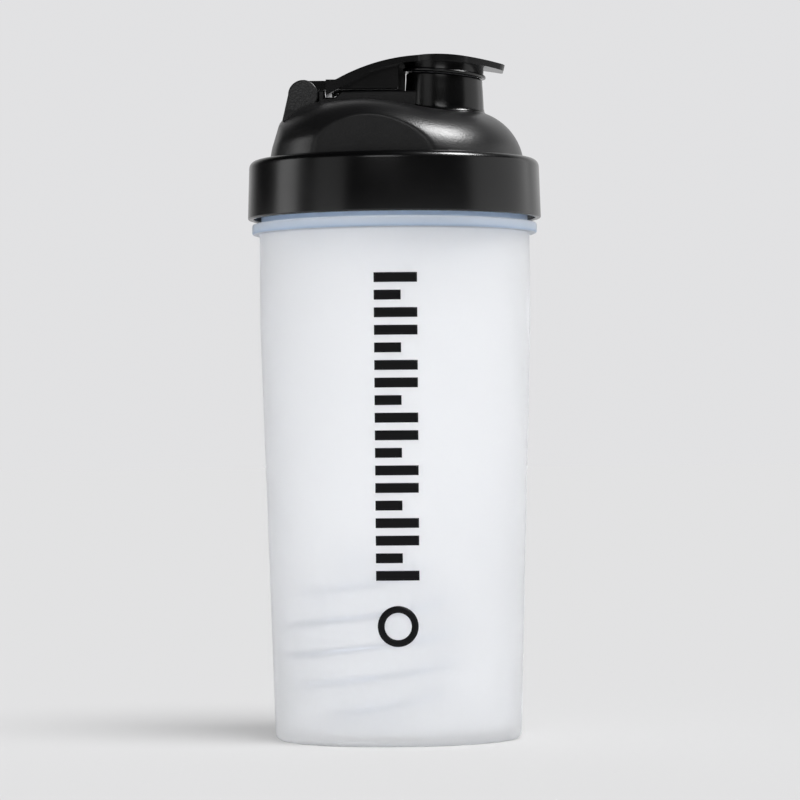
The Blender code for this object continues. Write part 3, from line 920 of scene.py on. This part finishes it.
def makePrint():
    pitch = (marks["highZ"] - marks["lowZ"]) / marks["count"]
    pieces = []
    for i in range(marks["count"]):
        deselectAll()
        bpy.ops.mesh.primitive_grid_add(x_subdivisions=16, y_subdivisions=4, size=1)
        bar = bpy.context.object
        short = marks["short"] if i % 3 == 1 else 1.0
        z = marks["lowZ"] + pitch * (i + 0.5)
        width, tall = marks["width"] * short, pitch * marks["share"]
        left = marks["x"] - marks["width"] / 2
        moveVertices(bar, lambda co: Vector((left + (co.x + 0.5) * width, 0, z + co.y * tall)))
        ontoWall(bar)
        pieces.append(bar)
    deselectAll()
    bpy.ops.mesh.primitive_circle_add(vertices=72, radius=marks["ringR"], fill_type="NOTHING")
    ring = bpy.context.object
    bpy.ops.object.mode_set(mode="EDIT")
    bpy.ops.mesh.extrude_region_move()
    inner = 1 - marks["ringBand"] / marks["ringR"]
    bpy.ops.transform.resize(value=(inner, inner, 1), center_override=(0, 0, 0))
    bpy.ops.object.mode_set(mode="OBJECT")
    moveVertices(ring, lambda co: Vector((marks["x"] + co.x, 0, marks["ringZ"] + co.y)))
    ontoWall(ring)
    deselectAll()
    for part in (*pieces, ring):
        part.select_set(True)
    bpy.context.view_layer.objects.active = ring
    bpy.ops.object.join()
    piece = bpy.context.object
    piece.name = "cupPrint"
    pick(piece)
    bpy.ops.object.mode_set(mode="EDIT")
    settle(piece)
    outward = sum(face.normal.y for face in piece.data.polygons)
    if outward > 0:
        piece.data.flip_normals()
    thick = piece.modifiers.new("ink", "SOLIDIFY")
    thick.thickness = marks["ink"]
    thick.offset = 1
    applyModifiers(piece)
    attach(piece, "cup")
    print("print made:", len(piece.data.polygons), "faces")
    return piece


def newGroup(name, inputs, outputs):
    group = bpy.data.node_groups.new(name, "ShaderNodeTree")
    for label, kind, value in inputs:
        socket = group.interface.new_socket(label, in_out="INPUT", socket_type=kind)
        if value is not None:
            socket.default_value = value
    for label, kind in outputs:
        group.interface.new_socket(label, in_out="OUTPUT", socket_type=kind)
    start = group.nodes.new("NodeGroupInput")
    end = group.nodes.new("NodeGroupOutput")
    return group, start, end


def addNode(tree, kind, inputs=None, **settings):
    node = tree.nodes.new(kind)
    for key, value in settings.items():
        setattr(node, key, value)
    for key, value in (inputs or {}).items():
        if isinstance(value, bpy.types.NodeSocket):
            tree.links.new(value, node.inputs[key])
        else:
            node.inputs[key].default_value = value
    return node


def makeGrainGroup():
    # fine moulded grain: pits and bumps of one size, with a broad slow change over them
    group, start, end = newGroup(
        "mouldedGrain",
        [
            ("Vector", "NodeSocketVector", None),
            ("Grain Size", "NodeSocketFloat", 3000.0),
            ("Patch Size", "NodeSocketFloat", 60.0),
            ("Low Roughness", "NodeSocketFloat", 0.3),
            ("High Roughness", "NodeSocketFloat", 0.45),
        ],
        [(label, "NodeSocketFloat") for label in ("Height", "Roughness", "Patches")],
    )
    vector = start.outputs["Vector"]
    size, patch = start.outputs["Grain Size"], start.outputs["Patch Size"]
    pits = {"Vector": vector, "Scale": size}
    grain = addNode(group, "ShaderNodeTexVoronoi", pits, feature="SMOOTH_F1")
    fine = addNode(group, "ShaderNodeTexNoise", {**pits, "Detail": 3.0})
    heights = {0: grain.outputs["Distance"], 1: fine.outputs["Fac"]}
    both = addNode(group, "ShaderNodeMath", heights, operation="ADD")
    broad = addNode(group, "ShaderNodeTexNoise", {"Vector": vector, "Scale": patch, "Detail": 4.0})
    spread = addNode(
        group, "ShaderNodeMapRange",
        {"Value": broad.outputs["Fac"], "From Min": 0.35, "From Max": 0.65,
         "To Min": start.outputs["Low Roughness"], "To Max": start.outputs["High Roughness"]},
    )
    group.links.new(both.outputs[0], end.inputs["Height"])
    group.links.new(spread.outputs["Result"], end.inputs["Roughness"])
    group.links.new(broad.outputs["Fac"], end.inputs["Patches"])
    return group


def makeScuffGroup():
    # hairline scuffs: thin stretched noise, kept only where a broad noise is high
    group, start, end = newGroup(
        "handlingScuffs",
        [
            ("Vector", "NodeSocketVector", None),
            ("Stretch", "NodeSocketVector", (40.0, 40.0, 900.0)),
            ("Amount", "NodeSocketFloat", 0.3),
        ],
        [("Mask", "NodeSocketFloat")],
    )
    vector, amount = start.outputs["Vector"], start.outputs["Amount"]
    pulled = {0: vector, 1: start.outputs["Stretch"]}
    stretched = addNode(group, "ShaderNodeVectorMath", pulled, operation="MULTIPLY")
    lines = addNode(
        group, "ShaderNodeTexNoise",
        {"Vector": stretched.outputs[0], "Scale": 1.0, "Detail": 2.0},
    )
    thin = addNode(
        group, "ShaderNodeMapRange",
        {"Value": lines.outputs["Fac"], "From Min": 0.62, "From Max": 0.72},
    )
    where = addNode(
        group, "ShaderNodeTexNoise", {"Vector": vector, "Scale": 45.0, "Detail": 2.0}
    )
    here = addNode(
        group, "ShaderNodeMapRange",
        {"Value": where.outputs["Fac"], "From Min": 0.5, "From Max": 0.7},
    )
    masks = {0: thin.outputs["Result"], 1: here.outputs["Result"]}
    both = addNode(group, "ShaderNodeMath", masks, operation="MULTIPLY")
    scaled = addNode(group, "ShaderNodeMath", {0: both.outputs[0], 1: amount}, operation="MULTIPLY")
    group.links.new(scaled.outputs[0], end.inputs["Mask"])
    return group


def newMaterial(name):
    material = bpy.data.materials.new(name)
    material.use_nodes = True
    tree = material.node_tree
    shader = tree.nodes["Principled BSDF"]
    coords = tree.nodes.new("ShaderNodeTexCoord").outputs["Object"]
    return material, tree, shader, coords


def grainedPlastic(name, dark, light, grain, scuff, bumpStrength, bumpDepth, extra=None):
    material, tree, shader, coords = newMaterial(name)
    grainNode = addNode(tree, "ShaderNodeGroup", {"Vector": coords, **grain}, node_tree=grainGroup)
    scuffNode = addNode(tree, "ShaderNodeGroup", {"Vector": coords, **scuff}, node_tree=scuffGroup)
    colour = addNode(
        tree, "ShaderNodeMix",
        {0: grainNode.outputs["Patches"], 6: (*dark, 1), 7: (*light, 1)},
        data_type="RGBA",
    )
    rough = addNode(
        tree, "ShaderNodeMath",
        {0: grainNode.outputs["Roughness"], 1: scuffNode.outputs["Mask"]},
        operation="ADD", use_clamp=True,
    )
    bump = addNode(
        tree, "ShaderNodeBump",
        {"Height": grainNode.outputs["Height"], "Strength": bumpStrength, "Distance": bumpDepth},
    )
    tree.links.new(colour.outputs[2], shader.inputs["Base Color"])
    tree.links.new(rough.outputs[0], shader.inputs["Roughness"])
    tree.links.new(bump.outputs["Normal"], shader.inputs["Normal"])
    for key, value in (extra or {}).items():
        shader.inputs[key].default_value = value
    return material


# painted shade colours, multiplied into the cup around the collar, the crease at its foot and the
# neck under the lid's skirt
collarShade = {
    "lowZ": cup["collarLowZ"] - 0.6 * mm,
    "highZ": cup["collarHighZ"] + 0.6 * mm,
    "stops": (
        (0.12, (1, 1, 1)),
        (0.19, (0.6, 0.73, 0.9)),
        (0.4, (0.76, 0.84, 0.94)),
        (0.85, (0.88, 0.92, 0.97)),
    ),
    "neck": (0.6, 0.73, 0.9),
}


def paintCollarShade(material):
    # paints shade into the cup's colour: a darker blue-grey painted shade on the thick collar band,
    # a deeper painted shade line in the crease at the collar's foot, and painted shade on the neck
    # above it, under the lid's skirt; the thin wall keeps its own colour
    tree = material.node_tree
    shader = tree.nodes["Principled BSDF"]
    colour = shader.inputs["Base Color"].links[0].from_socket
    coords = tree.nodes.new("ShaderNodeTexCoord").outputs["Object"]
    split = addNode(tree, "ShaderNodeSeparateXYZ", {0: coords})
    height = addNode(tree, "ShaderNodeMapRange", {
        "Value": split.outputs["Z"], "From Min": collarShade["lowZ"], "From Max": collarShade["highZ"],
    })
    ramp = addNode(tree, "ShaderNodeValToRGB", {0: height.outputs["Result"]})
    stops = ramp.color_ramp.elements
    stops[0].position, stops[0].color = 0.0, (1, 1, 1, 1)
    stops[1].position, stops[1].color = 1.0, (*collarShade["neck"], 1)
    for place, shade in collarShade["stops"]:
        stops.new(place).color = (*shade, 1)
    mixed = addNode(tree, "ShaderNodeMix", {0: 1.0, 6: colour, 7: ramp.outputs["Color"]},
                    data_type="RGBA", blend_type="MULTIPLY")
    tree.links.new(mixed.outputs[2], shader.inputs["Base Color"])


def grainOf(size, patch, low, high):
    return {"Grain Size": size, "Patch Size": patch, "Low Roughness": low, "High Roughness": high}


grainGroup = makeGrainGroup()
scuffGroup = makeScuffGroup()
frosted = {
    "dark": (0.93, 0.938, 0.952),
    "light": (0.95, 0.957, 0.97),
    "grain": grainOf(1800.0, 25.0, 0.46, 0.52),
    "scuff": {"Stretch": (300.0, 300.0, 12.0), "Amount": 0.1},
    "bumpStrength": 0.25,
    "bumpDepth": 0.02 * mm,
    "extra": {"Transmission Weight": 0.75, "IOR": 1.28},
}
satin = {
    "dark": (0.0055, 0.0055, 0.006),
    "light": (0.008, 0.008, 0.0085),
    "grain": grainOf(1700.0, 60.0, 0.31, 0.36),
    "scuff": {"Stretch": (60.0, 60.0, 900.0), "Amount": 0.12},
    "bumpStrength": 0.65,
    "bumpDepth": 0.045 * mm,
}
gloss = {
    "dark": (0.0012, 0.0012, 0.0014),
    "light": (0.002, 0.002, 0.0022),
    "grain": grainOf(2200.0, 40.0, 0.2, 0.26),
    "scuff": {"Stretch": (40.0, 40.0, 900.0), "Amount": 0.04},
    "bumpStrength": 0.15,
    "bumpDepth": 0.015 * mm,
}
silicone = {
    "dark": (0.16, 0.16, 0.17),
    "light": (0.20, 0.20, 0.21),
    "grain": grainOf(2500.0, 80.0, 0.5, 0.6),
    "scuff": {"Stretch": (80.0, 80.0, 500.0), "Amount": 0.1},
    "bumpStrength": 0.3,
    "bumpDepth": 0.02 * mm,
    "extra": {"Sheen Weight": 0.2, "Sheen Roughness": 0.4},
}
steel = {
    "dark": (0.36, 0.41, 0.50),
    "light": (0.46, 0.50, 0.58),
    "grain": grainOf(3500.0, 120.0, 0.2, 0.32),
    "scuff": {"Stretch": (900.0, 900.0, 900.0), "Amount": 0.2},
    "bumpStrength": 0.2,
    "bumpDepth": 0.01 * mm,
    "extra": {"Metallic": 1.0},
}
ink = {
    "dark": (0.003, 0.003, 0.004),
    "light": (0.006, 0.006, 0.007),
    "grain": grainOf(2600.0, 150.0, 0.35, 0.5),
    "scuff": {"Stretch": (200.0, 200.0, 200.0), "Amount": 0.2},
    "bumpStrength": 0.2,
    "bumpDepth": 0.01 * mm,
    "extra": {"Specular IOR Level": 0.2},
}

pieces = {
    "cup": makeCup(),
    "print": makePrint(),
    "lid": makeLid(),
    "cap": makeFlipCap(),
    "plug": makePlug(),
    "seal": makeSeal(),
    "ball": makeBall(),
}
frostedMaterial = grainedPlastic("frostedPolypropylene", **frosted)
# paints shade onto the collar band, the crease at its foot and the neck under the lid's skirt
paintCollarShade(frostedMaterial)
pieces["cup"].data.materials.append(frostedMaterial)
satinMaterial = grainedPlastic("satinBlack", **satin)
glossMaterial = grainedPlastic("glossBlack", **gloss)
siliconeMaterial = grainedPlastic("greySilicone", **silicone)
pieces["print"].data.materials.append(grainedPlastic("printInk", **ink))
pieces["lid"].data.materials.append(satinMaterial)
pieces["lid"].data.materials.append(glossMaterial)
pieces["cap"].data.materials.append(glossMaterial)
pieces["plug"].data.materials.append(siliconeMaterial)
pieces["seal"].data.materials.append(siliconeMaterial)
pieces["ball"].data.materials.append(grainedPlastic("springSteel", **steel))
for face in pieces["lid"].data.polygons:
    onSpout = math.hypot(face.center.x - spout["x"], face.center.y) < spout["lowR"] + 0.8 * mm
    low = face.center.z < lid["ledgeZ"] + 0.02 * mm
    # the skirt and the spout are glossier than the dome
    face.material_index = 1 if low or (onSpout and face.center.z > spout["glossZ"]) else 0
print("materials made")


studio = {
    "backdrop": (0.758, 0.758, 0.768),
    "floorSize": 60,
    "floorTone": (0.2, 0.2, 0.202),
    "floorGlow": 0.529,
    "floorGlowTone": (0.76, 0.76, 0.765),
    "roomBehind": 0.75,
    "roomInFront": 0.015,
    "sunStrength": 5.99,
    "sunAngle": 36,
    "sunTowards": (-0.27, 0.345, -0.899),
}
softboxes = (
    # name, pieces lit, direction, distance, width, height, glow
    ("topKey", "black", (0.52, -0.14, 0.84), 1.1, 0.34, 0.34, 36.0),
    ("rightWall", "black", (1.0, 0.12, 0.10), 1.1, 1.5, 1.0, 0.75),
    ("leftStrip", "black", (-1.0, 0.03, 0.10), 1.1, 0.42, 0.9, 1.9),
    ("leftPanel", "black", (-0.78, -0.62, 0.15), 1.1, 0.5, 0.9, 0.5),
    ("frontTop", "black", (-0.15, -0.88, 0.46), 1.2, 0.5, 0.22, 3.2),
    ("cupRight", "clear", (0.97, -0.1, 0.22), 1.1, 1.4, 0.9, 2.0),
    ("cupTop", "clear", (0.5, -0.16, 0.85), 1.1, 0.3, 0.3, 30.0),
    ("cupFront", "clear", (-0.6, -0.8, 0.2), 1.2, 1.4, 1.2, 2.35),
    ("cupLow", "clear", (-0.25, -0.96, -0.04), 1.2, 1.6, 0.12, 10.5),
)
view = {
    "lens": 172.8,
    "sensor": 36,
    "place": (0, -1.258, 0.0925),
    "turn": -0.06,
    "tilt": 90.83,
    "roll": -0.487,
}


def makeFloor():
    deselectAll()
    bpy.ops.mesh.primitive_plane_add(size=studio["floorSize"], location=(0, 0, cadBox[0].z))
    floor = bpy.context.object
    floor.name = "studioFloor"
    material, _, shader, _ = newMaterial("paleFloor")
    shader.inputs["Base Color"].default_value = (*studio["floorTone"], 1)
    shader.inputs["Roughness"].default_value = 0.9
    shader.inputs["Specular IOR Level"].default_value = 0.0
    shader.inputs["Emission Color"].default_value = (*studio["floorGlowTone"], 1)
    shader.inputs["Emission Strength"].default_value = studio["floorGlow"]
    floor.data.materials.append(material)
    return floor


def makeWorld():
    world = bpy.data.worlds.new("studio")
    bpy.context.scene.world = world
    world.use_nodes = True
    tree = world.node_tree
    background = tree.nodes["Background"]
    direction = tree.nodes.new("ShaderNodeTexCoord").outputs["Generated"]
    across = {0: direction, 1: (0.2, 1, 0)}
    behind = addNode(tree, "ShaderNodeVectorMath", across, operation="DOT_PRODUCT")
    room = addNode(
        tree, "ShaderNodeMapRange",
        {"Value": behind.outputs["Value"], "From Min": 0.55, "From Max": 0.95,
         "To Min": studio["roomInFront"], "To Max": studio["roomBehind"]},
        interpolation_type="SMOOTHSTEP",
    )
    path = tree.nodes.new("ShaderNodeLightPath")
    rays = {0: path.outputs["Is Camera Ray"], 1: path.outputs["Is Transmission Ray"]}
    seen = addNode(tree, "ShaderNodeMath", rays, operation="MAXIMUM")
    colour = addNode(
        tree, "ShaderNodeMix",
        {0: seen.outputs[0], 6: room.outputs["Result"], 7: (*studio["backdrop"], 1)},
        data_type="RGBA",
    )
    tree.links.new(colour.outputs[2], background.inputs["Color"])
    background.inputs["Strength"].default_value = 1.0


def makeSoftbox(name, receivers, direction, distance, width, height, glow):
    # each box lights only its own collection; glow is its brightness as seen by the piece
    place = target + Vector(direction).normalized() * distance
    deselectAll()
    bpy.ops.object.light_add(type="AREA", location=place)
    light = bpy.context.object
    light.name = name
    light.data.shape = "RECTANGLE"
    light.data.size = width
    light.data.size_y = height
    light.data.energy = glow * math.pi * width * height
    light.rotation_euler = (target - place).to_track_quat("-Z", "Y").to_euler()
    light.light_linking.receiver_collection = receivers
    return light


def collectionOf(name, objects):
    group = bpy.data.collections.new(name)
    for item in objects:
        group.objects.link(item)
    return group


target = Vector((0, 0, 0.12))
blackKeys = ("lid", "cap", "plug", "seal", "print")
blackOnes = collectionOf("blackPieces", [pieces[key] for key in blackKeys])
clearOnes = collectionOf("clearPieces", [pieces[key] for key in ("cup", "ball")])
makeWorld()
stageOnly = collectionOf("stageOnly", [makeFloor()])
bpy.context.scene.view_settings.view_transform = "Standard"
litBy = {"black": blackOnes, "clear": clearOnes}
for name, group, *shape in softboxes:
    makeSoftbox(name, litBy[group], *shape)
deselectAll()
bpy.ops.object.light_add(type="SUN", location=(1, -0.5, 2))
sun = bpy.context.object
sun.name = "softSun"
sun.data.energy = studio["sunStrength"]
sun.data.angle = math.radians(studio["sunAngle"])
sun.rotation_euler = Vector(studio["sunTowards"]).to_track_quat("-Z", "Y").to_euler()
sun.light_linking.receiver_collection = stageOnly

cameraData = bpy.data.cameras.new("camera")
cameraData.lens = view["lens"]
cameraData.sensor_width = view["sensor"]
camera = bpy.data.objects.new("camera", cameraData)
bpy.context.scene.collection.objects.link(camera)
camera.matrix_world = (
    Matrix.Translation(view["place"])
    @ Matrix.Rotation(math.radians(view["turn"]), 4, "Z")
    @ Matrix.Rotation(math.radians(view["tilt"]), 4, "X")
    @ Matrix.Rotation(math.radians(view["roll"]), 4, "Z")
)
bpy.context.scene.camera = camera
print("studio made")
